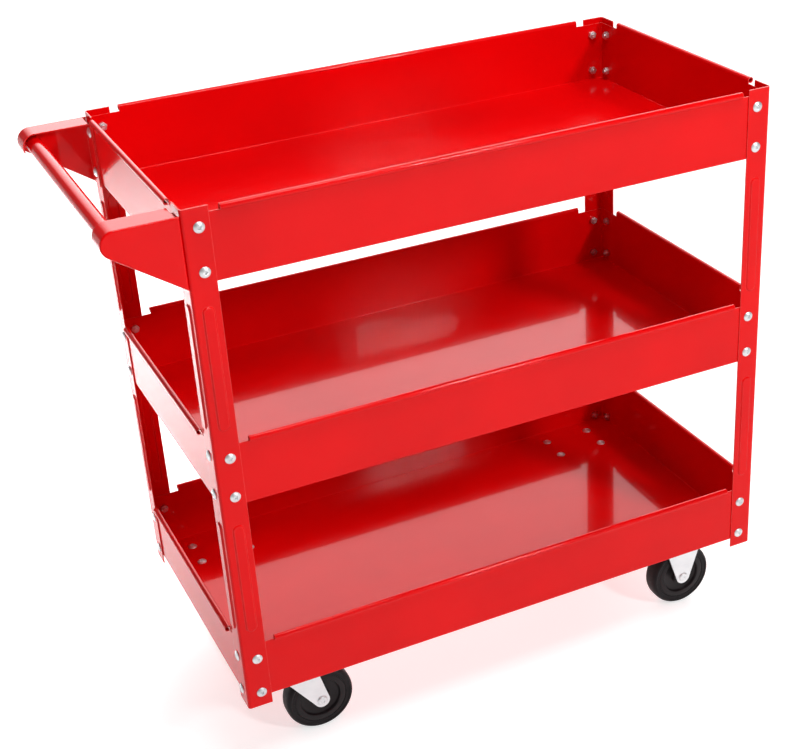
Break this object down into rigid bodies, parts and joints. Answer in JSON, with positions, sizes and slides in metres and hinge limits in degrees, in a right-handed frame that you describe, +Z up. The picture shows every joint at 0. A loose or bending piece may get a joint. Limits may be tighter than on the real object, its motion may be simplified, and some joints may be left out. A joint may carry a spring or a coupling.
{
  "type": "rolling utility cart",
  "caption": "Sheet metal tool trolley: open trays with curled rims bolted between angle legs, a tube push handle at one end, swivel casters under the handle and fixed casters at the far end.",
  "frame": {"origin": "on the floor, under the middle of the whole cart", "axes": "+X from the push handle to the far end, +Y across the cart to the left of someone pushing it, +Z up"},
  "size_m": [0.856, 0.4172, 0.776],
  "materials": {
    "red_paint": "glossy baked enamel on sheet steel",
    "zinc_plate": "bright zinc plate",
    "black_nylon": "moulded, fine grain",
    "black_rubber": "moulded rubber, satin"
  },
  "bodies": {
    "cart": {"back_fixed_axle": "zinc_plate", "back_fixed_bracket": "zinc_plate", "back_fixed_bushing": "zinc_plate", "back_swivel_kingpin": "zinc_plate", "back_swivel_plate": "zinc_plate", "back_swivel_race_balls": "zinc_plate", "bottom_tray": "red_paint", "bottom_tray_nuts": "zinc_plate", "bottom_tray_screws": "zinc_plate", "caster_nuts": "zinc_plate", "caster_screws": "zinc_plate", "front_fixed_axle": "zinc_plate", "front_fixed_bracket": "zinc_plate", "front_fixed_bushing": "zinc_plate", "front_swivel_kingpin": "zinc_plate", "front_swivel_plate": "zinc_plate", "front_swivel_race_balls": "zinc_plate", "handle_bar": "red_paint", "handle_bracket_back": "red_paint", "handle_bracket_front": "red_paint", "handle_screws": "zinc_plate", "leg_far_back": "red_paint", "leg_far_front": "red_paint", "leg_handle_back": "red_paint", "leg_handle_front": "red_paint", "middle_tray": "red_paint", "middle_tray_nuts": "zinc_plate", "middle_tray_screws": "zinc_plate", "top_tray": "red_paint", "top_tray_nuts": "zinc_plate", "top_tray_screws": "zinc_plate"},
    "front_swivel_caster": {"front_swivel_axle": "zinc_plate", "front_swivel_bushing": "zinc_plate", "front_swivel_fork": "zinc_plate"},
    "back_swivel_caster": {"back_swivel_axle": "zinc_plate", "back_swivel_bushing": "zinc_plate", "back_swivel_fork": "zinc_plate"},
    "front_swivel_wheel": {"front_swivel_hub": "black_nylon", "front_swivel_tyre": "black_rubber"},
    "back_swivel_wheel": {"back_swivel_hub": "black_nylon", "back_swivel_tyre": "black_rubber"},
    "front_fixed_wheel": {"front_fixed_hub": "black_nylon", "front_fixed_tyre": "black_rubber"},
    "back_fixed_wheel": {"back_fixed_hub": "black_nylon", "back_fixed_tyre": "black_rubber"}
  },
  "joints": [
    {"name": "front_swivel_turn", "type": "hinge", "parent": "cart", "child": "front_swivel_caster", "pos_m": [-0.25705, -0.1495, 0.106], "axis": [0, 0, 1], "continuous": true},
    {"name": "front_swivel_wheel_spin", "type": "hinge", "parent": "front_swivel_caster", "child": "front_swivel_wheel", "pos_m": [-0.23005, -0.1495, 0.047], "axis": [0, 1, 0], "continuous": true},
    {"name": "front_fixed_wheel_spin", "type": "hinge", "parent": "cart", "child": "front_fixed_wheel", "pos_m": [0.33595, -0.1495, 0.047], "axis": [0, 1, 0], "continuous": true},
    {"name": "back_swivel_turn", "type": "hinge", "parent": "cart", "child": "back_swivel_caster", "pos_m": [-0.25705, 0.1495, 0.106], "axis": [0, 0, 1], "continuous": true},
    {"name": "back_swivel_wheel_spin", "type": "hinge", "parent": "back_swivel_caster", "child": "back_swivel_wheel", "pos_m": [-0.23005, 0.1495, 0.047], "axis": [0, 1, 0], "continuous": true},
    {"name": "back_fixed_wheel_spin", "type": "hinge", "parent": "cart", "child": "back_fixed_wheel", "pos_m": [0.33595, 0.1495, 0.047], "axis": [0, 1, 0], "continuous": true}
  ]
}
